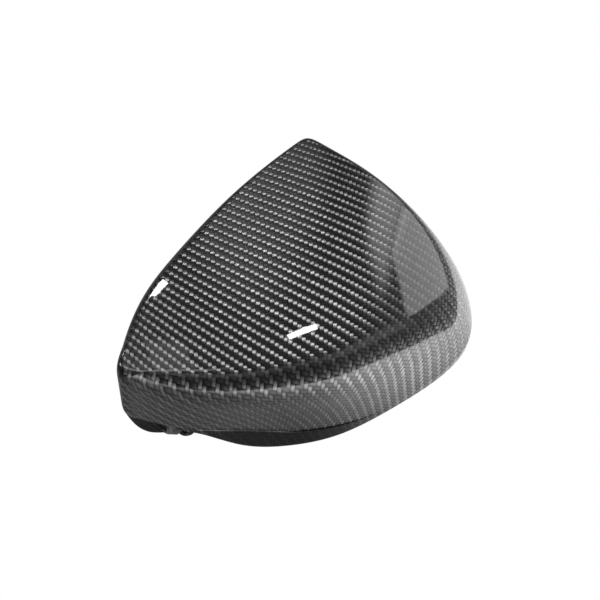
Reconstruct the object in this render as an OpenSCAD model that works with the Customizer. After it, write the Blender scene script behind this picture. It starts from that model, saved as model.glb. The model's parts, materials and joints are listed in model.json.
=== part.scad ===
// Wing mirror cover: a one-piece moulded shell that lies on its rim with the outer face up.
// X runs across the cover, +Y towards the pointed tip and +Z out of the outer face.
// The origin is under the middle of the outline, on the plane that the rim rests on.

/* [Overall size] */
// Length from the blunt end to the pointed tip
cover_length = 231.3; // [210:0.1:250]
// Width from the open edge to the rounded side
cover_width = 143.5; // [130:0.1:160]
// Height of the high corner, where the open edge meets the blunt end
corner_height = 81.5; // [72:0.1:90]

/* [Outer face] */
// Height of the face near its middle
face_middle = 30.5; // [28:0.5:33]
// Drop of the face from its middle to the rounded side
fall_across = 7; // [5:0.5:9]
// Drop of the face from its middle to the tip
fall_along = 25.5; // [24:0.5:27]
// How much the fall across lessens towards the tip
twist = 7.5; // [6:0.5:9]
// Crown of the face across its width
crown_across = 7.5; // [6:0.5:9]
// Extra roll of the face near its two long edges
edge_roll = 11; // [9:0.5:12]
// Crown of the face along its length
crown_along = 0.5; // [0:0.5:2]
// How much the crown across deepens towards the tip
tip_crown = 5; // [3:0.5:6]
// How much the rounded side falls away towards both ends
end_fall = 5; // [3:0.5:6]

/* [Wall and edges] */
// Thickness of the moulded wall
wall = 2; // [1.4:0.1:2.4]
// Depth of the turned-down flange along the open edge
edge_flange = 8; // [6:0.5:11]
// Length of the rounding at the fold above the near wall, on each side of the fold
fold_round = 9; // [6:0.5:11]
// Length of the rounding along the open edge, on each side of the turn
edge_round = 4; // [3.5:0.1:5]
// Height of the smooth lip band along the near rim
lip_height = 9; // [7:0.5:12]
// How far the lip band stands proud of the near wall
lip_step = 0.6; // [0.2:0.1:1]
// Height of the recessed tongue round the low corner
tongue_height = 8; // [6:0.5:10]
// How far the tongue is set back behind the near wall
tongue_step = 1.5; // [0.5:0.1:2]

/* [Notch and screw eye] */
// Length of the notch along its top edge
notch_length = 24; // [21:0.5:26]
// Distance from the start of the notch to the point of the tongue
notch_slant = 11.5; // [9:0.5:13]
// Depth of the tongue's point below the top edge of the notch
notch_depth = 4; // [3:0.2:4.6]
// Thickness of the strap
strap_thick = 2; // [1.5:0.1:2.5]
// How far the strap reaches below the notch's top edge
strap_drop = 9.4; // [8:0.2:10]
// Outer diameter of the screw eye
eye_outer = 7.2; // [6.8:0.2:8.4]
// Diameter of the hole in the screw eye
eye_hole = 3.6; // [2.6:0.1:4.2]
// Thickness of the screw eye
eye_thick = 2; // [1.6:0.1:2.6]

/* [Snap tongues] */
// Width of each snap tongue
snap_width = 14; // [10:0.5:18]
// Thickness of each snap tongue
snap_thick = 2; // [1.5:0.1:3]
// Width of the window in each snap tongue
window_width = 8; // [5:0.5:9]
// Height of the window in each snap tongue
window_height = 3.5; // [2:0.5:5]
// Wall left below each window
window_land = 2.5; // [1.5:0.5:4]

/* [Hidden] */

// Columns between two stations, and rows on each stretch of a section
columns_per_station = 4;
face_rows = 5;
turn_rows = 4;
wall_rows = 3;

// Size of the outline that the stations below were measured on
station_width = 143.5;
station_length = 231.3;
station_height = 81.5;
scale_x = cover_width / station_width;
scale_y = cover_length / station_length;
scale_z = corner_height / station_height;

// Middle of the outline, the point that the face's rows spread from, and the crown with its two reaches
outline_middle = [3.25 * scale_x, 25.55 * scale_y];
face_hub = [5 * scale_x, 15 * scale_y];
crown_point = [2 * scale_x, 33 * scale_y];
crown_reach = [73 * scale_x, 117 * scale_y];

// Stations round the cover, clockwise from the tip as seen from above. Each holds the fold's X and Y,
// the rim's X, Y and Z, the rounding at the fold, and the height and step of the band above the rim.
plain_band = 2;
STATIONS = [
    // tip
    [4, 139.3, 4.3, 141.2, 0, edge_round, plain_band, 0],
    // rounded side
    [15, 130, 16.3, 131.8, 0, edge_round, plain_band, 0],
    [37, 107.5, 38.5, 109.2, 0, edge_round, plain_band, 0],
    [58.3, 75.7, 60.5, 76.8, 0, 6, plain_band, 0],
    [69, 46, 72, 46, 0, 7, plain_band, 0],
    [71.5, 25, 75, 22, 0, fold_round - 1, plain_band, 0],
    [67.5, 7, 71.5, 3, 0, fold_round, plain_band, 0],
    // near wall
    [55.5, -11.5, 58.5, -15, 0, fold_round, plain_band, 0],
    [38.5, -32.5, 38, -32.5, 0, fold_round, plain_band, 0],
    [18.5, -54, 16.5, -46, 0, fold_round, lip_height * 2 / 3, lip_step],
    [-3, -69, -4, -53.5, 1.5, fold_round, lip_height, lip_step],
    [-25, -80, -24, -62.5, 12, fold_round, lip_height, lip_step],
    [-44, -85.5, -43, -71.8, 29, fold_round - 1, plain_band, 0],
    // tongue and high corner
    [-59, -90, -59.5, -77, 33.5, fold_round - 2, tongue_height, -tongue_step],
    [-66, -91.3, -66.6, -81.8, 48.8, fold_round - 3, plain_band, -tongue_step / 2],
    [-68.6, -84.5, -68.1, -81, 60.5, edge_round, plain_band, 0],
    // open edge
    [-67.9, -62, -67.2, -62, edge_rim(-67.2, -62), edge_round, plain_band, 0],
    [-64.3, -22, -63.5, -22, edge_rim(-63.5, -22), edge_round, plain_band, 0],
    [-53.3, 25, -52.6, 25, edge_rim(-52.6, 25), edge_round, plain_band, 0],
    [-31.5, 82.5, -30.8, 82.5, edge_rim(-30.8, 82.5), edge_round, plain_band, 0],
    [-6.5, 127, -5.9, 127, edge_rim(-5.9, 127), edge_round, plain_band, 0]
];
function edge_rim(x, y) = (face(x * scale_x, y * scale_y) - edge_flange) / scale_z;
stations = [for (s = STATIONS)
    [s[0] * scale_x, s[1] * scale_y, s[2] * scale_x, s[3] * scale_y, s[4] * scale_z, s[5], s[6], s[7]]];

// Height of the outer face over a point of the plan
function face(x, y) =
    let (u = (x - crown_point[0]) / crown_reach[0], v = (y - crown_point[1]) / crown_reach[1])
    scale_z * (face_middle - fall_across * u - fall_along * v + twist * u * v
        - crown_across * u * u - edge_roll * pow(u, 3) - crown_along * v * v
        - tip_crown * u * u * v - end_fall * u * v * v);
function on_face(p) = [p[0], p[1], face(p[0], p[1])];
function unit(v) = v / norm(v);

// A smooth closed curve through the stations: the knots are pulled until the curve meets each one
function nearby(knots, i) =
    let (n = len(knots)) (knots[(i + n - 1) % n] + 4 * knots[i] + knots[(i + 1) % n]) / 6;
function pulled(goals, knots, rounds) =
    rounds == 0 ? knots
    : pulled(goals, [for (i = [0:len(knots) - 1]) knots[i] + goals[i] - nearby(knots, i)], rounds - 1);
function along(knots, t) =
    let (n = len(knots), i = floor(t), u = t - i,
        a = knots[(i + n - 1) % n], b = knots[i % n], c = knots[(i + 1) % n], d = knots[(i + 2) % n])
    (a * pow(1 - u, 3) + b * (3 * pow(u, 3) - 6 * u * u + 4)
        + c * (1 + 3 * u + 3 * u * u - 3 * pow(u, 3)) + d * pow(u, 3)) / 6;

// One section of the outer skin, from beside the hub out to the rim
function section(s) =
    let (
        fold = on_face([s[0], s[1]]),
        rim = [s[2], s[3], max(s[4], 0)],
        band_top = rim + [0, 0, s[6]],
        drop = norm(band_top - fold),
        inward = unit(face_hub - [s[0], s[1]]),
        set_out = [-inward[0] * s[7], -inward[1] * s[7], 0],
        turn_in = on_face([s[0], s[1]] + inward * s[5]),
        turn_out = fold + (band_top - fold) * min(s[5], 0.75 * drop) / drop
    )
    concat(
        [for (k = [1:face_rows - 1])
            on_face(face_hub + ([turn_in[0], turn_in[1]] - face_hub) * k / face_rows)],
        [for (k = [0:turn_rows]) let (u = k / turn_rows)
            turn_in * pow(1 - u, 2) + fold * 2 * u * (1 - u) + turn_out * u * u],
        [for (k = [1:wall_rows]) turn_out + (band_top - turn_out) * k / wall_rows],
        [band_top + set_out - [0, 0, s[6] / 8], rim + set_out]
    );

band_row = face_rows + turn_rows + wall_rows - 1;
knots = pulled(stations, stations, 24);
column_count = len(stations) * columns_per_station;
outer = [for (t = [0:column_count - 1]) section(along(knots, t / columns_per_station))];
row_count = len(outer[0]);
hub_point = on_face(face_hub);

// The inner skin lies one wall thickness behind the outer one, square to it, and level at the rim
function outer_at(t, r) = r < 0 ? hub_point : outer[(t + column_count) % column_count][min(r, row_count - 1)];
function outward(t, r) =
    unit(cross(outer_at(t + 1, r) - outer_at(t - 1, r), outer_at(t, r + 1) - outer_at(t, r - 1)));
function across_wall(t, r) =
    let (n = outward(t, min(r, band_row - 1))) r < band_row ? n : unit([n[0], n[1], 0]);
inner = [for (t = [0:column_count - 1]) [for (r = [0:row_count - 1]) outer[t][r] - wall * across_wall(t, r)]];
quarter = column_count / 4;
hub_normal = unit(cross(outer_at(quarter, 0) - outer_at(3 * quarter, 0),
    outer_at(2 * quarter, 0) - outer_at(0, 0)));
hub_inner = hub_point - wall * (hub_normal[2] < 0 ? -hub_normal : hub_normal);

// Faces of the closed skin, two triangles to each patch
skin_size = column_count * row_count;
function outer_id(t, r) = (t % column_count) * row_count + r;
function inner_id(t, r) = skin_size + outer_id(t, r);
hub_ids = [2 * skin_size, 2 * skin_size + 1];
function patch(a, b, c, d) = [[a, b, c], [a, c, d]];
skin_faces = [
    for (t = [0:column_count - 1]) each concat(
        [[hub_ids[0], outer_id(t, 0), outer_id(t + 1, 0)]],
        [[hub_ids[1], inner_id(t + 1, 0), inner_id(t, 0)]],
        [for (r = [0:row_count - 2]) each patch(
            outer_id(t, r), outer_id(t, r + 1), outer_id(t + 1, r + 1), outer_id(t + 1, r))],
        [for (r = [0:row_count - 2]) each patch(
            inner_id(t, r), inner_id(t + 1, r), inner_id(t + 1, r + 1), inner_id(t, r + 1))],
        patch(outer_id(t + 1, row_count - 1), outer_id(t, row_count - 1),
            inner_id(t, row_count - 1), inner_id(t + 1, row_count - 1))
    )
];

module skin() {
    polyhedron(points = concat([for (c = outer) each c], [for (c = inner) each c], [hub_point, hub_inner]),
        faces = skin_faces, convexity = 6);
}

// Frame of the notch, on the top edge of the band: X along that edge, Y into the cover, Z up the wall
notch_column = round(12.5 * columns_per_station);
notch_place = outer_at(notch_column, band_row);
notch_in = -outward(notch_column, band_row - 1);
edge_run = outer_at(notch_column - 2, band_row) - outer_at(notch_column + 2, band_row);
notch_run = unit(edge_run - notch_in * (edge_run * notch_in));
notch_up = cross(notch_run, notch_in);
module at_notch() {
    multmatrix([for (k = [0:2]) [notch_run[k], notch_in[k], notch_up[k], notch_place[k]]]) children();
}

// The notch starts at the tongue's slanted edge and runs out into the rim past the screw eye
notch_start = -9;
notch_fall = 1.6;
module notch_cut() {
    finish = notch_start + notch_length;
    point = notch_start + notch_slant;
    at_notch() rotate([90, 0, 0]) linear_extrude(height = 5 * wall, center = true)
        polygon([[notch_start, 0.3], [finish, -notch_fall], [finish, -strap_drop], [point, -strap_drop],
            [point, -notch_depth]]);
}

// The strap carries the inner half of the wall on below the notch, and ends in the screw eye
strap_start = -10;
strap_root = 4;
eye_offset = [12.6, 3.5, -5.4];
eye_middle = notch_place + notch_run * eye_offset[0] + notch_in * eye_offset[1] + notch_up * eye_offset[2];
eye_place = eye_middle - [0, 0, eye_thick / 2];
module strap() {
    finish = eye_offset[0] - eye_outer / 2 + 1;
    low = finish - 4;
    at_notch() translate([0, wall / 2 + strap_thick, 0]) rotate([90, 0, 0])
        linear_extrude(height = strap_thick)
            polygon([[strap_start, strap_root], [finish, strap_root], [finish, 1.4 - strap_drop],
                [low, -strap_drop], [low - 6, 2.4 - strap_drop], [strap_start, -2]]);
    translate(eye_place) cylinder(h = eye_thick, d = eye_outer, $fn = 48);
}

module eye_bore() {
    translate(eye_place - [0, 0, 0.5]) cylinder(h = eye_thick + 1, d = eye_hole, $fn = 48);
}

// Snap tongues under the face: each holds its middle X and Y, its heading and its length
SNAPS = [[-54, -30, 80, 9.5], [-41, 37, 64, 9], [54, 12, 95, 12], [34, 81.5, 135, 8.5]];
embed = wall / 2;
module snap(s) {
    middle = [s[0] * scale_x, s[1] * scale_y];
    run = [cos(s[2]), sin(s[2])] * snap_width / 2;
    side = [-sin(s[2]), cos(s[2])] * snap_thick / 2;
    plan = [middle - run - side, middle + run - side, middle + run + side, middle - run + side];
    low = face(middle[0], middle[1]) - wall - s[3];
    difference() {
        polyhedron(
            points = concat([for (p = plan) [p[0], p[1], low]],
                [for (p = plan) [p[0], p[1], face(p[0], p[1]) - embed]]),
            faces = [[0, 1, 2, 3], [7, 6, 5, 4], [0, 4, 5, 1], [1, 5, 6, 2], [2, 6, 7, 3], [3, 7, 4, 0]]);
        translate([middle[0], middle[1], low + window_land + window_height / 2]) rotate([0, 0, s[2]])
            cube([window_width, 3 * snap_thick, window_height], center = true);
    }
}

module cover_shell() {
    color([0.07, 0.07, 0.075]) translate([-outline_middle[0], -outline_middle[1], 0]) {
        difference() {
            union() {
                difference() {
                    skin();
                    notch_cut();
                }
                strap();
            }
            eye_bore();
        }
        for (s = SNAPS) snap(s);
    }
}

cover_shell();
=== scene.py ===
"""Builds the looks of a wing mirror cover: one clear-coated carbon fibre shell in a plain pale studio."""

import json
from math import comb, cos, pi, radians, sin
from typing import NamedTuple

import bpy
import numpy as np
from mathutils import Matrix, Vector

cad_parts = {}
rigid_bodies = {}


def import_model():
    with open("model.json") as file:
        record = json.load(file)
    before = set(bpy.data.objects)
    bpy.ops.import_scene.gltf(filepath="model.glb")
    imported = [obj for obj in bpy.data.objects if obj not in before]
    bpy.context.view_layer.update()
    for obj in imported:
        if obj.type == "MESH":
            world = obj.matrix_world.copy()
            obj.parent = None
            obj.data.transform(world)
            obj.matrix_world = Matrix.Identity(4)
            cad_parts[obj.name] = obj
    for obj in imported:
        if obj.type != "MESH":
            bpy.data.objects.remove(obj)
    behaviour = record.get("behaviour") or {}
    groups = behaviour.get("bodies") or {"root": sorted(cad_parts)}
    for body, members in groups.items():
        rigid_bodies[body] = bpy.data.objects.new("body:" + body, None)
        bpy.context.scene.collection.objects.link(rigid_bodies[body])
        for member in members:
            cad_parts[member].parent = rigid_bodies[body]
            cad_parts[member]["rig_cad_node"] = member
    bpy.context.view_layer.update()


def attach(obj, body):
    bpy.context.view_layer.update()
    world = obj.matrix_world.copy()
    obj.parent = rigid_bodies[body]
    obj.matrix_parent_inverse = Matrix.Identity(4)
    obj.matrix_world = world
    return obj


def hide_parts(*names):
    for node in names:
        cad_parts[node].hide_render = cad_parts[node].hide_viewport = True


bl_info = {
    "name": "Wing mirror cover looks",
    "version": (1, 0, 0),
    "blender": (4, 5, 0),
    "location": "View3D > Sidebar > Mirror Cover",
    "description": "Smooth shell, twill cloth, clear coat and studio for a wing mirror cover",
    "category": "Object",
}

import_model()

MM = 0.001
COVER = "Cover_shell"
TOWS = "tows"
INSIDE = "inside"

# Plan points and sizes in millimetres, the same as in the construction model
OUTLINE_MIDDLE = np.array((3.25, 25.55))
FACE_HUB = np.array((5.0, 15.0))
PLAIN_BAND = 2.0

# The fold is rounder than in the construction model, so that its highlight is as soft as the photo's.
# A leg is a multiple of a station's rounding, longer on the face where the rounding is wide.
# A pull is the share of a leg at which the curve is held to the face or to the wall.
FACE_LEG, WALL_LEG, MOST_OF_WALL = 1.3, 1.9, 0.9
WIDE_ROUND, WIDE_LEG = 8.5, 3.0
FACE_PULLS, WALL_PULLS = (1.0, 0.6, 0.25), (0.3, 0.65, 1.0)

# Rows of the outer skin: hub to fold, round the fold, down the wall, the step of the lip, the band
HUB_ROWS, TURN_ROWS, WALL_ROWS, STEP_ROWS, BAND_ROWS = 34, 18, 14, 4, 6
# The inner skin keeps every third row of the face, and fewer rows in the fold and the wall
INNER_EVERY, INNER_TURN_ROWS, INNER_WALL_ROWS, INNER_COLUMNS = 3, 10, 8, 4
# A part of the band is a share of its step out and a share of its height; the last part is the rim
RIM_PART = (1.0, 1.0)
INNER_PARTS = [(0.5, 0.08), (1.0, 0.3), RIM_PART]
# Share of the band's height that the lip's step takes
STEP_HEIGHT = 0.14
# Size of the rim's two rounded corners in millimetres
RIM_EASE, SINE_45 = 0.35, 0.7071
# Points of the closed skin nearer than this, in metres, are the same point
SEAM_GAP = 2e-7

# Marks on the skin: 0 is woven, 0.5 is plain black under the coat, 1 is the matt inner side
PLAIN_MARK, INNER_MARK, INNER_FROM = 0.5, 1.0, 0.75
STRAP_MARK, EYE_MARK = 0.15, 0.4
# The open edge is plain black from this share of its turn; roundings over 6 mm have no black edge
EDGE_START, EDGE_FADE = 0.02, 0.1
WOVEN_ROUND, WOVEN_FADE = 6, 1.5

# The notch is half-way between two stations; its rows round the fold, down the wall and in the band
NOTCH_STATION, NOTCH_TURN_ROWS, NOTCH_WALL_ROWS = 12.5, 4, 3
NOTCH_PARTS = [(1.0, 0.125), RIM_PART]
# Outlines in the notch's own frame, in millimetres: along the cut edge of the wall, and up the wall
NOTCH = ((-9, 0.3), (15, -1.6), (15, -9.4), (2.5, -9.4), (2.5, -4))
STRAP = ((-10, 4), (10, 4), (10, -8), (6, -9.4), (0, -7), (-10, -2))
STRAP_THICKNESS = 2
# The screw eye along the cut edge, into the cover and up the wall, in millimetres; its sizes in metres
SCREW_EYE = (12.6, 3.5, -5.4)
EYE_RADIUS, HOLE_RADIUS, EYE_THICKNESS, HOLE_LENGTH = 0.0036, 0.0018, 0.002, 0.01
EYE_SIDES = 64

# Snap tongues: plan point in millimetres, heading in degrees, length in millimetres; then their sizes,
# and the outline of their window along and up the tongue
SNAPS = ((-54, -30, 80, 9.5), (-41, 37, 64, 9), (54, 12, 95, 12), (34, 81.5, 135, 8.5))
SNAP_HALF_WIDTH, SNAP_HALF_THICKNESS = 7, 1
WINDOW = ((-4, 2.5), (4, 2.5), (4, 6), (-4, 6))
WINDOW_REACH = 3

CORNER_ROUND = 0.0003
CORNER_ANGLE, SMOOTH_ANGLE = radians(40), radians(38)

# The twill, counted in tows: a float passes over two, and each tow repeats after four
FLOAT_LENGTH, REPEAT = 2.0, 4.0
WANDER, WANDER_SCALE = 0.16, 90.0
FIBRES_IN_TOW = 14.0
# Brightness of a float and of a fibre: the least, and what chance adds to it at most
FLOAT_LEAST, FLOAT_CHANCE = 0.8, 0.4
FIBRE_LEAST, FIBRE_CHANCE = 0.75, 0.5
# Share of the brightness that a full mark of 1 would take away
BLACKENING = 1.8
WARP_SEED, WEFT_SEED, WEFT_FIBRES = 0.0, 7.0, 3.0

WHITE = (1.0, 1.0, 1.0, 1.0)
FLOOR_SIZE = 6.0
# The painted pool of light on the table, in metres: where it starts, is full, is full no more and has
# ended
LIT_POOL_X = (-0.01, 0.16, 0.3, 0.5)
LIT_POOL_Y = (-0.4, -0.25, 0.05, 0.1)


class Softbox(NamedTuple):
    """A soft-edged lamp of the room, in degrees; its azimuth runs from +Y towards +X."""

    azimuth: float
    elevation: float
    half_width: float
    half_height: float
    turn: float
    edge: float
    power: float


class Card(NamedTuple):
    """A glowing card, in metres, which fades with its turn from the ray: 0 is square on, 1 is edge on."""

    centre: tuple
    long_half: tuple
    short_half: tuple
    power: float
    fades: float
    gone: float


SOFTBOXES = {
    "window": Softbox(15.1, 5.2, 3.3, 1.1, turn=113.0, edge=0.4, power=0.3),
    "right": Softbox(26.2, 6.0, 4.3, 8.0, turn=12.0, edge=1.0, power=1.35),
    "middle": Softbox(18.8, 8.0, 2.6, 8.0, turn=12.0, edge=3.0, power=1.1),
    "haze": Softbox(1.0, 15.0, 5.0, 3.0, turn=0.0, edge=5.0, power=0.2),
    "side": Softbox(38.0, 27.0, 9.0, 9.0, turn=0.0, edge=9.0, power=0.45),
    "left_wall": Softbox(-85.0, 5.0, 25.0, 4.0, turn=0.0, edge=2.0, power=1.2),
}
CARDS = {
    "Strip_lamp": Card((0.034, 0.13, 0.109), (0.0068, -0.0007, -0.0019), (0.0017, -0.0007, 0.001),
                       power=16.0, fades=0.01, gone=0.012),
    "Edge_lamp": Card((0.0039, 0.3042, 0.0871), (-0.0041, 0.0077, 0.0039), (0.0007, -0.0016, 0.0022),
                      power=14.0, fades=0.47, gone=0.471),
    "Back_lamp": Card((-0.07, 0.415, 0.265), (0.0978, 0.0207, 0.0), (0.006, -0.0286, 0.069),
                      power=8.5, fades=0.005, gone=0.032),
}


class CoverShape(bpy.types.PropertyGroup):
    """Sizes of the shell."""

    wall: bpy.props.FloatProperty(
        name="Wall", description="Thickness of the moulded wall",
        default=0.002, min=0.001, max=0.003, unit="LENGTH")
    edge_flange: bpy.props.FloatProperty(
        name="Edge flange", description="Depth of the turned-down flange along the open edge",
        default=0.008, min=0.004, max=0.012, unit="LENGTH")
    fold_round: bpy.props.FloatProperty(
        name="Fold rounding", description="Length of the rounding on each side of the fold",
        default=0.009, min=0.005, max=0.012, unit="LENGTH")
    edge_round: bpy.props.FloatProperty(
        name="Edge rounding", description="Length of the rounding along the open edge",
        default=0.004, min=0.002, max=0.006, unit="LENGTH")
    lip_height: bpy.props.FloatProperty(
        name="Lip height", description="Height of the smooth lip band along the near rim",
        default=0.009, min=0.006, max=0.012, unit="LENGTH")
    lip_step: bpy.props.FloatProperty(
        name="Lip step", description="How far the lip band stands proud of the near wall",
        default=0.0006, min=0.0002, max=0.001, unit="LENGTH")
    tongue_height: bpy.props.FloatProperty(
        name="Tongue height", description="Height of the recessed tongue round the low corner",
        default=0.008, min=0.006, max=0.01, unit="LENGTH")
    tongue_step: bpy.props.FloatProperty(
        name="Tongue step", description="How far the tongue is set back behind the near wall",
        default=0.0015, min=0.0005, max=0.002, unit="LENGTH")
    columns: bpy.props.IntProperty(
        name="Columns", description="Columns of the skin between two stations",
        default=16, min=4, max=24)


class ClothLook(bpy.types.PropertyGroup):
    """The woven cloth and the coat over it."""

    relief_along: bpy.props.FloatProperty(
        name="Relief along", description="Slope of a tow where it dives under its neighbour",
        default=0.14, min=0.0, max=1.0)
    relief_across: bpy.props.FloatProperty(
        name="Relief across", description="Slope of a tow at its two sides",
        default=0.36, min=0.0, max=1.5)
    gap_sharpness: bpy.props.FloatProperty(
        name="Gap sharpness", description="How narrow the dark gap round each tow is",
        default=4.0, min=1.0, max=20.0)
    # The warp and the weft are one fibre: the warp's brighter colour is painted light.
    lit_warp_colour: bpy.props.FloatVectorProperty(
        name="Warp colour", description="Reflection colour of the tows that run along the cover",
        default=(0.44, 0.44, 0.446), size=3, subtype="COLOR", min=0.0, max=1.0)
    # The weft's darker colour is painted shade.
    shaded_weft_colour: bpy.props.FloatVectorProperty(
        name="Weft colour", description="Reflection colour of the tows that run across the cover",
        default=(0.115, 0.115, 0.117), size=3, subtype="COLOR", min=0.0, max=1.0)
    inside_colour: bpy.props.FloatVectorProperty(
        name="Inside colour", description="Colour of the matt moulded inner side",
        default=(0.03, 0.03, 0.032), size=3, subtype="COLOR", min=0.0, max=1.0)


class StudioSetup(bpy.types.PropertyGroup):
    """Camera and lights."""

    elevation: bpy.props.FloatProperty(
        name="Camera elevation", description="Angle of the camera above the floor",
        default=radians(44.0), unit="ROTATION")
    distance: bpy.props.FloatProperty(
        name="Camera distance", description="From the camera to the point it looks at",
        default=0.838, min=0.3, max=3.0, unit="LENGTH")
    look_height: bpy.props.FloatProperty(
        name="Look height", description="Height of the point the camera looks at",
        default=0.0324, unit="LENGTH")
    lens: bpy.props.FloatProperty(
        name="Lens", description="Focal length on a 36 mm wide sensor",
        default=120.0, min=20.0, max=300.0)
    surround: bpy.props.FloatProperty(
        name="Surround", description="Brightness of the room above the floor",
        default=0.08, min=0.0, max=3.0)
    # The table glows dim everywhere but its pool, as painted shade under the cover.
    table: bpy.props.FloatProperty(
        name="Table", description="Brightness of the table under the cover",
        default=0.21, min=0.0, max=3.0)
    # The glow of the table's painted pool of light on the right.
    table_pool_of_light: bpy.props.FloatProperty(
        name="Table, right", description="Brightness of the table on the right",
        default=3.0, min=0.0, max=12.0)


def face(x, y):
    """Height of the outer face over a point of the plan, in millimetres."""
    u, v = (x - 2) / 73, (y - 33) / 117
    return (30.5 - 7 * u - 25.5 * v + 7.5 * u * v - 7.5 * u * u - 11 * u ** 3
            - 0.5 * v * v - 5 * u * u * v - 5 * u * v * v)


def on_face(plan):
    """Points of the face over rows of plan points."""
    return np.concatenate((plan, face(plan[..., 0], plan[..., 1])[..., None]), axis=-1)


def stations():
    """Stations round the cover: fold X and Y, rim X, Y and Z, rounding, band height and band step."""
    shape = bpy.context.scene.cover_shape
    fold_round, edge_round = shape.fold_round / MM, shape.edge_round / MM
    lip, lip_step = shape.lip_height / MM, shape.lip_step / MM
    tongue, tongue_step = shape.tongue_height / MM, shape.tongue_step / MM

    def edge_rim(x, y):
        return face(x, y) - shape.edge_flange / MM

    return np.array((
        (4, 139.3, 4.3, 141.2, 0, edge_round, PLAIN_BAND, 0),
        (15, 130, 16.3, 131.8, 0, edge_round, PLAIN_BAND, 0),
        (37, 107.5, 38.5, 109.2, 0, edge_round, PLAIN_BAND, 0),
        (58.3, 75.7, 60.5, 76.8, 0, 6, PLAIN_BAND, 0),
        (69, 46, 72, 46, 0, 7, PLAIN_BAND, 0),
        (71.5, 25, 75, 22, 0, fold_round - 1, PLAIN_BAND, 0),
        (67.5, 7, 71.5, 3, 0, fold_round, PLAIN_BAND, 0),
        (55.5, -11.5, 58.5, -15, 0, fold_round, PLAIN_BAND, 0),
        (38.5, -32.5, 38, -32.5, 0, fold_round + 1, PLAIN_BAND, 0),
        (18.5, -54, 16.5, -46, 0, fold_round + 2, lip * 2 / 3, lip_step),
        (-3, -69, -4, -53.5, 1.5, fold_round + 3, lip, lip_step),
        (-25, -80, -24, -62.5, 12, fold_round + 3, lip, lip_step),
        (-44, -85.5, -43, -71.8, 29, fold_round + 2, PLAIN_BAND, 0),
        (-59, -90, -59.5, -77, 33.5, fold_round + 1, tongue, -tongue_step),
        (-66, -91.3, -66.6, -81.8, 48.8, fold_round - 2, PLAIN_BAND, -tongue_step / 2),
        (-68.6, -84.5, -68.1, -81, 60.5, edge_round, PLAIN_BAND, 0),
        (-67.9, -62, -67.2, -62, edge_rim(-67.2, -62), edge_round, PLAIN_BAND, 0),
        (-64.3, -22, -63.5, -22, edge_rim(-63.5, -22), edge_round, PLAIN_BAND, 0),
        (-53.3, 25, -52.6, 25, edge_rim(-52.6, 25), edge_round, PLAIN_BAND, 0),
        (-31.5, 82.5, -30.8, 82.5, edge_rim(-30.8, 82.5), edge_round, PLAIN_BAND, 0),
        (-6.5, 127, -5.9, 127, edge_rim(-5.9, 127), edge_round, PLAIN_BAND, 0),
    ), float)


def unit(v):
    """Vectors along the last axis, one long."""
    return v / np.maximum(np.linalg.norm(v, axis=-1, keepdims=True), 1e-9)


def pulled(goals, rounds=24):
    """Knots of the smooth closed curve that meets every goal."""
    knots = goals.copy()
    for _ in range(rounds):
        knots += goals - (np.roll(knots, 1, 0) + 4 * knots + np.roll(knots, -1, 0)) / 6
    return knots


def along(knots, t):
    """Points of the smooth closed curve at the places t."""
    n = len(knots)
    i = np.floor(t).astype(int)
    u = (t - i)[:, None]
    a, b, c, d = (knots[(i + k) % n] for k in (-1, 0, 1, 2))
    return (a * (1 - u) ** 3 + b * (3 * u ** 3 - 6 * u * u + 4)
            + c * (1 + 3 * u + 3 * u * u - 3 * u ** 3) + d * u ** 3) / 6


def refined(rings, t):
    """The closed rings of points at finer places."""
    flat = rings.reshape(len(rings), -1)
    return along(pulled(flat), t).reshape((len(t),) + rings.shape[1:])


def cloth(plan):
    """Where the cloth lies over points of the plan, counted in tows across and along."""
    x, y = (plan[..., 0] - 2) / 70, (plan[..., 1] - 30) / 100
    across = 35.5 * x + 3.5 * x * x + 2.8 * x ** 3 + 1.8 * y + 2.2 * y * y - 2.6 * x * y + 5 * x * y * y
    length = 51.4 * y - 7.5 * x - 6.3 * x * x - 3.5 * x ** 3 + y * y + y ** 3 - 2.2 * x * y * y
    return np.stack((across, length), axis=-1)


def outer_rows(s, turn_rows, wall_rows, band_parts):
    """Rows of the outer skin from the hub to the rim, and where the cloth lies on them."""
    up = np.array((0.0, 0.0, 1.0))
    fold_plan, rounding = s[:, 0:2], s[:, 5:6]
    fold = on_face(fold_plan)
    rim = np.concatenate((s[:, 2:4], np.maximum(s[:, 4:5], 0)), axis=1)
    band_top = rim + s[:, 6:7] * up
    drop = np.linalg.norm(band_top - fold, axis=1, keepdims=True)
    down = (band_top - fold) / drop
    inward = unit(FACE_HUB - fold_plan)
    set_out = np.concatenate((-inward * s[:, 7:8], np.zeros((len(s), 1))), axis=1)
    wall_leg = np.minimum(WALL_LEG * rounding, MOST_OF_WALL * drop)
    face_leg = FACE_LEG * rounding + WIDE_LEG * np.maximum(rounding - WIDE_ROUND, 0)
    turn_plan = fold_plan + inward * face_leg
    corners = [on_face(fold_plan + inward * face_leg * share) for share in FACE_PULLS]
    corners += [fold + down * wall_leg * share for share in WALL_PULLS]
    degree = len(corners) - 1
    rows = [on_face(FACE_HUB + (turn_plan - FACE_HUB) * k / HUB_ROWS) for k in range(HUB_ROWS)]
    for k in range(turn_rows + 1):
        u = k / turn_rows
        rows.append(sum(comb(degree, n) * (1 - u) ** (degree - n) * u ** n * corner
                        for n, corner in enumerate(corners)))
    for k in range(1, wall_rows + 1):
        rows.append(corners[-1] + (band_top - corners[-1]) * k / wall_rows)
    for out, low in band_parts:
        rows.append(band_top + set_out * out - up * s[:, 6:7] * low)
    rows = np.stack(rows, axis=1)
    return rows, cloth_rows(rows, turn_plan, inward)


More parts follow.
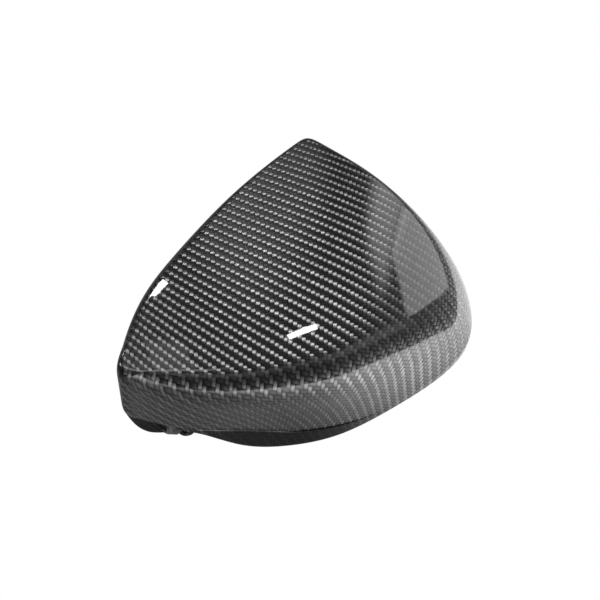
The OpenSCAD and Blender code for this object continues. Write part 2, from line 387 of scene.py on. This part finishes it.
def cloth_rows(rows, turn_plan, inward):
    """The cloth is laid over the plan, then wraps straight on over the fold and down the wall."""
    lay = cloth(rows[..., :2])
    near = 0.5
    slope = (cloth(turn_plan - inward * near) - cloth(turn_plan)) / near
    rise = (on_face(turn_plan - inward * near) - on_face(turn_plan))[:, 2:3] / near
    slope = slope / np.sqrt(1 + rise * rise)
    steps = np.linalg.norm(np.diff(rows[:, HUB_ROWS:], axis=1), axis=2)
    run = np.concatenate((np.zeros((len(rows), 1)), np.cumsum(steps, axis=1)), axis=1)
    lay[:, HUB_ROWS:] = cloth(turn_plan)[:, None, :] + slope[:, None, :] * run[..., None]
    return lay


def skin_normals(rows):
    """Outward normals of a closed ring of rows."""
    across = np.roll(rows, -1, 0) - np.roll(rows, 1, 0)
    down = np.gradient(rows, axis=1)
    return unit(np.cross(across, down))


def inner_rows(values, places):
    """Rows of the inner skin from the rim to the hub, where the cloth lies, and the level way out."""
    wall = bpy.context.scene.cover_shape.wall / MM
    s = along(pulled(values), np.arange(len(values) * INNER_COLUMNS) / INNER_COLUMNS)
    outer, lay = outer_rows(s, INNER_TURN_ROWS, INNER_WALL_ROWS, INNER_PARTS)
    normals = skin_normals(outer)
    normals[:, 0] = unit(normals[:, 1].mean(axis=0))
    # The band's rows face level, the way that the wall just above them faces
    band_rows = len(INNER_PARTS)
    level = unit(normals[:, -band_rows - 2] * (1, 1, 0))
    normals[:, -band_rows:] = level[:, None]
    inner = outer - wall * normals
    kept = (list(range(0, HUB_ROWS, INNER_EVERY)) + list(range(HUB_ROWS, outer.shape[1])))[::-1]
    inner, lay, level = (refined(a, places) for a in (inner[:, kept], lay[:, kept], level))
    return inner, lay, unit(level)


def rim_points(rim, sill, level):
    """Six points round the rounded rim, from the outer skin to the inner one."""
    drop = np.array((0.0, 0.0, RIM_EASE))
    bend = 1 - SINE_45
    return [rim + drop, rim + drop * bend - level * RIM_EASE * bend, rim - level * RIM_EASE,
            sill + level * RIM_EASE, sill + level * RIM_EASE * bend + drop * bend, sill + drop]


def skin_marks(s, band_end, count):
    """Marks of the rows: woven, plain black on the lip band and the open edge, or inner side."""
    marks = np.zeros((len(s), count))
    band_start = HUB_ROWS + TURN_ROWS + WALL_ROWS
    edge = np.clip((WOVEN_ROUND - s[:, 5:6]) / WOVEN_FADE, 0, 1)
    turned = np.clip((np.arange(TURN_ROWS + WALL_ROWS) / TURN_ROWS - EDGE_START) / EDGE_FADE, 0, 1)
    lip = np.clip(np.abs(s[:, 7:8]) / (bpy.context.scene.cover_shape.lip_step / MM), 0, 1)
    marks[:, HUB_ROWS:band_start] = PLAIN_MARK * edge * turned
    marks[:, band_start + 1:band_end] = PLAIN_MARK * lip
    marks[:, band_end:] = INNER_MARK
    return marks


def shell_rows():
    """Every row of the closed shell: the outer skin, the rounded rim and the inner skin to the hub."""
    columns = bpy.context.scene.cover_shape.columns
    values = stations()
    places = np.arange(len(values) * columns) / columns
    s = along(pulled(values), places)
    step = [(0.5 - 0.5 * cos(pi * k / STEP_ROWS), STEP_HEIGHT * k / STEP_ROWS)
            for k in range(1, STEP_ROWS + 1)]
    outer, outer_lay = outer_rows(s, TURN_ROWS, WALL_ROWS, step + [RIM_PART])
    inner, inner_lay, level = inner_rows(values, places * INNER_COLUMNS)

    edge = rim_points(outer[:, -1], inner[:, 0], level)
    share = (np.arange(1, BAND_ROWS) / BAND_ROWS)[:, None]
    band = outer[:, -2:-1] + (edge[0][:, None] - outer[:, -2:-1]) * share
    band_lay = outer_lay[:, -2:-1] + (outer_lay[:, -1:] - outer_lay[:, -2:-1]) * share
    rows = np.concatenate((outer[:, :-1], band, np.stack(edge, axis=1), inner[:, 1:]), axis=1)
    lay = np.concatenate((outer_lay[:, :-1], band_lay, np.repeat(outer_lay[:, -1:], len(edge), axis=1),
                          inner_lay[:, 1:]), axis=1)
    marks = skin_marks(s, outer.shape[1] + BAND_ROWS + 1, rows.shape[1])
    rows[..., :2] -= OUTLINE_MIDDLE
    return rows * MM, lay, marks


def notch_frame():
    """Corner point and axes of the notch: along the wall's cut edge, into the cover and up the wall."""
    places = NOTCH_STATION + np.linspace(-0.5, 0.5, 5)
    s = along(pulled(stations()), places)
    rows, _ = outer_rows(s, NOTCH_TURN_ROWS, NOTCH_WALL_ROWS, NOTCH_PARTS)
    band_top, above = rows[:, -3], rows[:, -4]
    outward = unit(np.cross(above[3] - above[1], band_top[2] - rows[2, -5]))
    inward = -outward
    edge = band_top[0] - band_top[4]
    run = unit(edge - inward * (edge @ inward))
    place = band_top[2].copy()
    place[:2] -= OUTLINE_MIDDLE
    return place, run, inward, np.cross(run, inward)


def drop_selection():
    """Nothing is selected or active after this."""
    if bpy.context.object and bpy.context.object.mode != "OBJECT":
        bpy.ops.object.mode_set(mode="OBJECT")
    bpy.ops.object.select_all(action="DESELECT")


def take(obj):
    """Makes one object the only selected and the active one."""
    drop_selection()
    obj.select_set(True)
    bpy.context.view_layer.objects.active = obj


def turn_outwards(obj, merge=None):
    """Points the faces of an object outwards, after points closer than the merge distance are joined."""
    take(obj)
    bpy.ops.object.mode_set(mode="EDIT")
    bpy.ops.mesh.select_all(action="SELECT")
    if merge:
        bpy.ops.mesh.remove_doubles(threshold=merge)
    bpy.ops.mesh.normals_make_consistent(inside=False)
    bpy.ops.object.mode_set(mode="OBJECT")


def apply_all(obj):
    """Applies the modifiers of one object."""
    take(obj)
    for modifier in list(obj.modifiers):
        bpy.ops.object.modifier_apply(modifier=modifier.name)


def cut(obj, cutter):
    """Cuts one object out of another, and deletes it."""
    modifier = obj.modifiers.new("Cut", "BOOLEAN")
    modifier.operation = "DIFFERENCE"
    modifier.solver = "EXACT"
    modifier.object = cutter
    apply_all(obj)
    take(cutter)
    bpy.ops.object.delete()


def bevel(obj, segments=3):
    """Rounds the sharp edges of an object."""
    modifier = obj.modifiers.new("Bevel", "BEVEL")
    modifier.width = CORNER_ROUND
    modifier.segments = segments
    modifier.limit_method = "ANGLE"
    modifier.angle_limit = CORNER_ANGLE
    apply_all(obj)


def prism(name, outline, low, high, place, axes):
    """A prism over an outline in its own frame: outline in axes one and three, depth in axis two."""
    drop_selection()
    bpy.ops.mesh.primitive_cylinder_add(vertices=len(outline), radius=1, depth=1)
    obj = bpy.context.active_object
    obj.name = name
    angles = {}
    for v in obj.data.vertices:
        turn = round(np.arctan2(v.co.x, v.co.y) % (2 * pi), 4)
        angles.setdefault(turn, []).append(v)
    for (_, pair), (a, c) in zip(sorted(angles.items()), outline):
        for v in pair:
            b = low if v.co.z < 0 else high
            v.co = Vector(place + axes[0] * a + axes[1] * b + axes[2] * c) * MM
    turn_outwards(obj)
    return obj


def give_map(mesh, lay, marks):
    """Gives a mesh the cloth's map and its marks, from one value for each of its points."""
    while mesh.uv_layers:
        mesh.uv_layers.remove(mesh.uv_layers[0])
    spots = np.empty(len(mesh.loops), np.int32)
    mesh.loops.foreach_get("vertex_index", spots)
    mesh.uv_layers.new(name=TOWS).data.foreach_set("uv", lay[spots].astype(np.float32).ravel())
    mark = mesh.attributes.get(INSIDE) or mesh.attributes.new(INSIDE, "FLOAT", "POINT")
    mark.data.foreach_set("value", marks.astype(np.float32))


def give_layers(obj, mark):
    """Lays the cloth on an added piece by the plan, and marks all of it alike."""
    count = len(obj.data.vertices)
    points = np.empty(count * 3, np.float32)
    obj.data.vertices.foreach_get("co", points)
    lay = cloth(points.reshape(-1, 3)[:, :2] / MM + OUTLINE_MIDDLE)
    give_map(obj.data, lay, np.full(count, mark))


class COVER_OT_skin(bpy.types.Operator):
    """Build the closed shell with its folds, lip band, tongue and rounded rim"""

    bl_idname = "cover.skin"
    bl_label = "Build shell"

    def execute(self, context):
        rows, lay, marks = shell_rows()
        columns, depth = rows.shape[:2]
        drop_selection()
        bpy.ops.mesh.primitive_grid_add(x_subdivisions=columns, y_subdivisions=depth - 1, size=2)
        obj = context.active_object
        obj.name = COVER
        mesh = obj.data
        points = np.empty(len(mesh.vertices) * 3, np.float32)
        mesh.vertices.foreach_get("co", points)
        points = points.reshape(-1, 3)
        column = np.rint((points[:, 0] + 1) / 2 * columns).astype(int) % columns
        row = np.rint((points[:, 1] + 1) / 2 * (depth - 1)).astype(int)
        if row.max() != depth - 1:
            raise RuntimeError("the grid has another number of rows than the skin")
        mesh.vertices.foreach_set("co", rows[column, row].astype(np.float32).ravel())
        mesh.update()
        give_map(mesh, lay[column, row], marks[column, row])
        turn_outwards(obj, merge=SEAM_GAP)
        return {"FINISHED"}


class COVER_OT_notch(bpy.types.Operator):
    """Cut the notch, and add the strap with the screw eye behind it"""

    bl_idname = "cover.notch"
    bl_label = "Cut notch and add screw eye"

    def execute(self, context):
        place, run, inward, up = notch_frame()
        axes = (run, inward, up)
        wall = context.scene.cover_shape.wall / MM
        reach = 2.5 * wall
        cut(bpy.data.objects[COVER], prism("Notch cutter", NOTCH, -reach, reach, place, axes))

        strap = prism("Strap", STRAP, wall / 2, wall / 2 + STRAP_THICKNESS, place, axes)
        bevel(strap)
        give_layers(strap, STRAP_MARK)

        eye_at = place + sum(axis * size for axis, size in zip(axes, SCREW_EYE))
        drop_selection()
        bpy.ops.mesh.primitive_cylinder_add(vertices=EYE_SIDES, radius=EYE_RADIUS, depth=EYE_THICKNESS)
        eye = context.active_object
        eye.name = "Screw eye"
        bpy.ops.mesh.primitive_cylinder_add(vertices=EYE_SIDES, radius=HOLE_RADIUS, depth=HOLE_LENGTH)
        cut(eye, context.active_object)
        eye.data.transform(Matrix.Translation(Vector(eye_at) * MM))
        bevel(eye)
        give_layers(eye, EYE_MARK)
        return {"FINISHED"}


class COVER_OT_snaps(bpy.types.Operator):
    """Add the four snap tongues with their windows under the face"""

    bl_idname = "cover.snaps"
    bl_label = "Add snap tongues"

    def execute(self, context):
        wall = context.scene.cover_shape.wall / MM
        for k, (x, y, heading, length) in enumerate(SNAPS):
            run = np.array((cos(radians(heading)), sin(radians(heading)), 0.0))
            axes = (run, np.array((-run[1], run[0], 0.0)), np.array((0.0, 0.0, 1.0)))
            low = face(x, y) - wall - length
            place = np.array((x, y, low)) - np.append(OUTLINE_MIDDLE, 0)
            half = SNAP_HALF_WIDTH
            tops = [face(*(np.array((x, y)) + run[:2] * a)) - wall / 2 - low for a in (-half, half)]
            outline = ((-half, 0), (half, 0), (half, tops[1]), (-half, tops[0]))
            tongue = prism(f"Snap tongue {k + 1}", outline, -SNAP_HALF_THICKNESS, SNAP_HALF_THICKNESS,
                           place, axes)
            cut(tongue, prism("Window cutter", WINDOW, -WINDOW_REACH, WINDOW_REACH, place, axes))
            bevel(tongue, segments=2)
            give_layers(tongue, INNER_MARK)
        return {"FINISHED"}


class Nodes:
    """Short ways to add shader nodes to one tree."""

    def __init__(self, tree):
        self.tree = tree
        tree.nodes.clear()

    def add(self, kind, settings=None, **inputs):
        """One node with its settings, and its inputs by name."""
        node = self.tree.nodes.new(kind)
        for key, value in (settings or {}).items():
            setattr(node, key, value)
        for key, value in inputs.items():
            self.feed(node.inputs[key.replace("_", " ")], value)
        return node

    def feed(self, socket, value):
        """Links an output to a socket, or sets the socket's value."""
        if isinstance(value, bpy.types.NodeSocket):
            self.tree.links.new(value, socket)
        else:
            socket.default_value = value

    def math(self, operation, *values):
        """The result of one calculation."""
        node = self.tree.nodes.new("ShaderNodeMath")
        node.operation = operation
        for socket, value in zip(node.inputs, values):
            self.feed(socket, value)
        return node.outputs[0]

    def xyz(self, x, y, z):
        """A vector of three numbers."""
        return self.add("ShaderNodeCombineXYZ", None, X=x, Y=y, Z=z).outputs[0]

    def mix(self, factor, a, b):
        """A number between two numbers."""
        node = self.tree.nodes.new("ShaderNodeMix")
        self.feed(node.inputs["Factor"], factor)
        self.feed(node.inputs["A"], a)
        self.feed(node.inputs["B"], b)
        return node.outputs["Result"]

    def fade(self, value, start, end, rise="SMOOTHSTEP"):
        """0 at the start and before it, 1 at the end and beyond it."""
        node = self.add("ShaderNodeMapRange", {"interpolation_type": rise}, Value=value)
        node.inputs["From Min"].default_value = start
        node.inputs["From Max"].default_value = end
        return node.outputs[0]

    def toned(self, colour, amount):
        """A colour times a brightness."""
        grey = self.add("ShaderNodeCombineColor", None, Red=amount, Green=amount, Blue=amount)
        node = self.add("ShaderNodeMix", {"data_type": "RGBA", "blend_type": "MULTIPLY"})
        self.feed(node.inputs[0], 1.0)
        self.feed(node.inputs[6], (*colour, 1.0))
        self.feed(node.inputs[7], grey.outputs[0])
        return node.outputs[2]

    def mix_shader(self, factor, a, b):
        """A shader between two shaders."""
        node = self.add("ShaderNodeMixShader", None, Fac=factor)
        self.feed(node.inputs[1], a)
        self.feed(node.inputs[2], b)
        return node.outputs[0]

    def white_to_camera(self, kind, strength):
        """Light that the camera sees as plain white, and everything else in its own strength."""
        path = self.add("ShaderNodeLightPath")
        light, white = (self.add(kind, None, Color=WHITE, Strength=s).outputs[0] for s in (strength, 1.0))
        return self.mix_shader(path.outputs["Is Camera Ray"], light, white)

    def show(self, shader, kind="ShaderNodeOutputMaterial"):
        """Makes a shader the tree's result."""
        self.feed(self.tree.nodes.new(kind).inputs[0], shader)


def new_material(name):
    """An empty material, and the way to add its nodes."""
    material = bpy.data.materials.new(name)
    material.use_nodes = True
    return material, Nodes(material.node_tree)


def cloth_place(n, solid):
    """Where a point is on the cloth, in tows across and along, with the wander of hand-laid cloth."""
    tows = n.add("ShaderNodeUVMap", {"uv_map": TOWS}).outputs[0]
    place = n.add("ShaderNodeSeparateXYZ", None, Vector=tows)
    wander = n.add("ShaderNodeTexNoise", {"noise_dimensions": "3D"}, Vector=solid, Scale=WANDER_SCALE,
                   Detail=2.0)
    sway = n.add("ShaderNodeSeparateColor", None, Color=wander.outputs["Color"])
    return [n.math("ADD", place.outputs[k], n.math("MULTIPLY_ADD", sway.outputs[k], WANDER, -WANDER / 2))
            for k in (0, 1)]


def tow_step(n, main, cross):
    """How far a point is into its tow's repeat."""
    return n.math("FLOORED_MODULO", n.math("ADD", main, n.math("FLOOR", cross)), REPEAT)


def tow_repeat(n, main, cross):
    """The number of its tow's repeat that a point is in."""
    return n.math("FLOOR", n.math("MULTIPLY", n.math("ADD", main, n.math("FLOOR", cross)), 1 / REPEAT))


def tow_side(n, cross):
    """Where a point is across its tow, from -1 to 1."""
    return n.math("SUBTRACT", n.math("MULTIPLY", n.math("FRACT", cross), 2.0), 1.0)


def cloth_normal(n, over, warp, weft):
    """The cloth's surface: each float dives at its two ends, and each tow is round across."""
    look = bpy.context.scene.cloth_look

    def dive(place):
        return n.math("MULTIPLY", n.math("COSINE", n.math("MULTIPLY", place, pi)), -look.relief_along)

    def shoulder(side):
        return n.math("MULTIPLY", n.math("POWER", n.math("ABSOLUTE", side), 2.0),
                      n.math("MULTIPLY", n.math("SIGN", side), look.relief_across))

    leans = (n.mix(over, dive(weft[0]), shoulder(warp[1])), n.mix(over, shoulder(weft[1]), dive(warp[0])))
    packed = n.xyz(*(n.math("MULTIPLY_ADD", lean, 0.5, 0.5) for lean in leans), 1.0)
    return n.add("ShaderNodeNormalMap", {"uv_map": TOWS}, Color=packed, Strength=1.0).outputs[0]


def tow_tone(n, colour, seed, fibres, place, plain):
    """Colour of one set of tows, painted light for the warp and painted shade for the weft: floats and
    fibres differ by chance, and their ends and sides are dark.
    """
    sharpness = bpy.context.scene.cloth_look.gap_sharpness

    def gap(side):
        return n.math("SUBTRACT", 1.0, n.math("POWER", n.math("ABSOLUTE", side), sharpness))

    chance = n.add("ShaderNodeTexWhiteNoise", {"noise_dimensions": "3D"}, Vector=seed)
    streak = n.add("ShaderNodeTexNoise", None, Vector=fibres, Scale=1.0, Detail=1.0)
    amount = n.math("MULTIPLY", n.math("MULTIPLY_ADD", chance.outputs["Value"], FLOAT_CHANCE, FLOAT_LEAST),
                    n.math("MULTIPLY_ADD", streak.outputs[0], FIBRE_CHANCE, FIBRE_LEAST))
    gaps = n.math("MULTIPLY", gap(n.math("MULTIPLY_ADD", place[0], 2.0, -1.0)), gap(place[1]))
    return n.toned(colour, n.math("MULTIPLY", amount, n.math("MULTIPLY", gaps, plain)))


def carbon_material():
    """Twill of carbon tows under a clear coat outside, matt resin inside; the warp is painted lighter and
    the weft darker, as painted light and painted shade on one fibre.
    """
    look = bpy.context.scene.cloth_look
    material, n = new_material("Carbon twill")
    solid = n.add("ShaderNodeTexCoord").outputs["Object"]
    across, length = cloth_place(n, solid)
    warp_step, weft_step = tow_step(n, length, across), tow_step(n, across, length)
    weft_step = n.math("SUBTRACT", weft_step, FLOAT_LENGTH)
    over = n.math("LESS_THAN", warp_step, FLOAT_LENGTH)
    warp = (n.math("MULTIPLY", warp_step, 1 / FLOAT_LENGTH), tow_side(n, across))
    weft = (n.math("MULTIPLY", weft_step, 1 / FLOAT_LENGTH), tow_side(n, length))
    normal = cloth_normal(n, over, warp, weft)

    mark = n.add("ShaderNodeAttribute", {"attribute_name": INSIDE}).outputs["Fac"]
    plain = n.math("MULTIPLY_ADD", n.math("MINIMUM", mark, PLAIN_MARK), -BLACKENING, 1.0)
    warp_seed = n.xyz(n.math("FLOOR", across), tow_repeat(n, length, across), WARP_SEED)
    weft_seed = n.xyz(tow_repeat(n, across, length), n.math("FLOOR", length), WEFT_SEED)
    warp_fibres = n.xyz(n.math("MULTIPLY", across, FIBRES_IN_TOW), length, 0.0)
    weft_fibres = n.xyz(across, n.math("MULTIPLY", length, FIBRES_IN_TOW), WEFT_FIBRES)
    tangent = n.add("ShaderNodeTangent", {"direction_type": "UV_MAP", "uv_map": TOWS}).outputs[0]
    tows = []
    # The warp tows get a painted light colour and the weft tows a painted shade colour, on top of their
    # own sheen.
    for colour, seed, fibres, place, turn in (
            (look.lit_warp_colour, warp_seed, warp_fibres, warp, 0.0),
            (look.shaded_weft_colour, weft_seed, weft_fibres, weft, 0.25)):
        tone = tow_tone(n, colour, seed, fibres, place, plain)
        tows.append(n.add("ShaderNodeBsdfPrincipled", None, Base_Color=tone, Metallic=0.9,
                          Roughness=0.4, Anisotropic=1.0, Anisotropic_Rotation=turn,
                          Normal=normal, Tangent=tangent,
                          Coat_Weight=1.0, Coat_Roughness=0.02, Coat_IOR=1.5).outputs[0])
    woven = n.mix_shader(over, tows[1], tows[0])

    grain = n.add("ShaderNodeTexNoise", None, Vector=solid, Scale=900.0, Detail=3.0)
    rough = n.add("ShaderNodeBump", None, Strength=0.25, Distance=0.0002, Height=grain.outputs[0])
    matt = n.add("ShaderNodeBsdfPrincipled", None, Base_Color=(*look.inside_colour, 1.0), Roughness=0.5,
                 Normal=rough.outputs[0])
    n.show(n.mix_shader(n.math("GREATER_THAN", mark, INNER_FROM), woven, matt.outputs[0]))
    return material


class COVER_OT_finish(bpy.types.Operator):
    """Join the cover to one piece, shade it smooth and give it the carbon cloth"""

    bl_idname = "cover.finish"
    bl_label = "Join and finish"

    def execute(self, context):
        shell = bpy.data.objects[COVER]
        drop_selection()
        for obj in bpy.data.objects:
            if obj.type == "MESH" and "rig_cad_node" not in obj:
                obj.select_set(True)
        context.view_layer.objects.active = shell
        bpy.ops.object.join()
        shell.data.materials.clear()
        shell.data.materials.append(carbon_material())
        take(shell)
        bpy.ops.object.shade_smooth_by_angle(angle=SMOOTH_ANGLE)
        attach(shell, "root")
        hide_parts("cover_shell")
        return {"FINISHED"}


def add_card(name, card):
    """Adds a glowing card that only reflections show, clear where it doesn't glow."""
    drop_selection()
    bpy.ops.mesh.primitive_plane_add(size=2)
    obj = bpy.context.active_object
    obj.name = name
    for v in obj.data.vertices:
        v.co = Vector(card.centre) + Vector(card.long_half) * v.co.x + Vector(card.short_half) * v.co.y
    material, n = new_material(name)
    turned = n.add("ShaderNodeLayerWeight", None, Blend=0.5).outputs["Facing"]
    clear = n.add("ShaderNodeBsdfTransparent").outputs[0]
    glow = n.add("ShaderNodeEmission", None, Color=WHITE, Strength=card.power).outputs[0]
    n.show(n.mix_shader(n.fade(turned, card.gone, card.fades, "LINEAR"), clear, glow))
    obj.data.materials.append(material)
    obj.visible_camera = False
    obj.visible_shadow = False


def softbox_light(n, azimuth, elevation, box):
    """Light of one softbox, by the direction looked in."""
    side = n.math("SUBTRACT", azimuth, radians(box.azimuth))
    rise = n.math("SUBTRACT", elevation, radians(box.elevation))
    c, s = cos(radians(box.turn)), sin(radians(box.turn))

    def within(a, b, half):
        off = n.math("ABSOLUTE", n.math("ADD", n.math("MULTIPLY", side, a), n.math("MULTIPLY", rise, b)))
        return n.fade(off, radians(half + box.edge / 2), radians(half - box.edge / 2))

    shape = n.math("MULTIPLY", within(c, s, box.half_width), within(-s, c, box.half_height))
    return n.math("MULTIPLY", shape, box.power)


class COVER_OT_studio(bpy.types.Operator):
    """Set the pale floor with its painted shade and painted pool of light, the soft lamps and the camera
    """

    bl_idname = "cover.studio"
    bl_label = "Set up studio"

    def execute(self, context):
        setup = context.scene.studio_setup
        drop_selection()
        bpy.ops.mesh.primitive_plane_add(size=FLOOR_SIZE, location=(0, 0, 0))
        floor = context.active_object
        floor.name = "Floor"
        floor.data.materials.append(self.floor_material(setup))
        self.world(context.scene, setup)
        for name, card in CARDS.items():
            add_card(name, card)
        self.camera(context, setup)
        context.scene.view_settings.view_transform = "Standard"
        return {"FINISHED"}

    @staticmethod
    def floor_material(setup):
        """White to the camera, and to everything else a glowing pale table, dim as painted shade under the
        cover and with a painted pool of light on its right.
        """
        material, n = new_material("Pale floor")
        spot = n.add("ShaderNodeSeparateXYZ", None, Vector=n.add("ShaderNodeTexCoord").outputs["Object"])

        def between(value, start, full, last, end):
            return n.math("MULTIPLY", n.fade(value, start, full), n.fade(value, end, last))

        # The painted pool of light on the right of the table.
        patch = n.math("MULTIPLY", between(spot.outputs[0], *LIT_POOL_X),
                       between(spot.outputs[1], *LIT_POOL_Y))
        n.show(n.white_to_camera("ShaderNodeEmission", n.mix(patch, setup.table, setup.table_pool_of_light)))
        return material

    @staticmethod
    def world(scene, setup):
        """White to the camera, and a dim room with softboxes to everything else."""
        world = bpy.data.worlds.new("Studio")
        scene.world = world
        world.use_nodes = True
        n = Nodes(world.node_tree)
        direction = n.add("ShaderNodeTexCoord").outputs["Generated"]
        way = n.add("ShaderNodeSeparateXYZ", None, Vector=direction)
        azimuth = n.math("ARCTAN2", way.outputs[0], way.outputs[1])
        elevation = n.math("ARCSINE", way.outputs[2])
        light = setup.surround
        for box in SOFTBOXES.values():
            light = n.math("ADD", light, softbox_light(n, azimuth, elevation, box))
        n.show(n.white_to_camera("ShaderNodeBackground", light), "ShaderNodeOutputWorld")

    @staticmethod
    def camera(context, setup):
        """The camera of the photograph."""
        target = Vector((-OUTLINE_MIDDLE[0] * MM, -OUTLINE_MIDDLE[1] * MM, setup.look_height))
        place = target + setup.distance * Vector((0, -cos(setup.elevation), sin(setup.elevation)))
        drop_selection()
        bpy.ops.object.camera_add(location=place)
        camera = context.active_object
        camera.rotation_euler = (target - place).to_track_quat("-Z", "Y").to_euler()
        camera.data.lens = setup.lens
        camera.data.sensor_width = 36.0
        camera.data.clip_start = 0.01
        context.scene.camera = camera


class COVER_PT_panel(bpy.types.Panel):
    """Lists the sizes, the looks and the steps that build the cover"""

    bl_idname = "COVER_PT_panel"
    bl_label = "Mirror Cover"
    bl_space_type = "VIEW_3D"
    bl_region_type = "UI"
    bl_category = "Mirror Cover"

    def draw(self, context):
        for group in (context.scene.cover_shape, context.scene.cloth_look, context.scene.studio_setup):
            box = self.layout.box()
            for key in group.__annotations__:
                box.prop(group, key)
        for operator in STEPS:
            self.layout.operator(operator.bl_idname)


STEPS = (COVER_OT_skin, COVER_OT_notch, COVER_OT_snaps, COVER_OT_finish, COVER_OT_studio)
CLASSES = (CoverShape, ClothLook, StudioSetup, *STEPS, COVER_PT_panel)


def register():
    """Registers the classes and the settings."""
    for cls in CLASSES:
        bpy.utils.register_class(cls)
    bpy.types.Scene.cover_shape = bpy.props.PointerProperty(type=CoverShape)
    bpy.types.Scene.cloth_look = bpy.props.PointerProperty(type=ClothLook)
    bpy.types.Scene.studio_setup = bpy.props.PointerProperty(type=StudioSetup)


def unregister():
    """Removes the settings and the classes."""
    del bpy.types.Scene.cover_shape
    del bpy.types.Scene.cloth_look
    del bpy.types.Scene.studio_setup
    for cls in reversed(CLASSES):
        bpy.utils.unregister_class(cls)


def main():
    """Builds the cover and its studio."""
    register()
    bpy.ops.cover.skin()
    bpy.ops.cover.notch()
    bpy.ops.cover.snaps()
    bpy.ops.cover.finish()
    bpy.ops.cover.studio()
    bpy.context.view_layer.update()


if __name__ == "__main__":
    main()
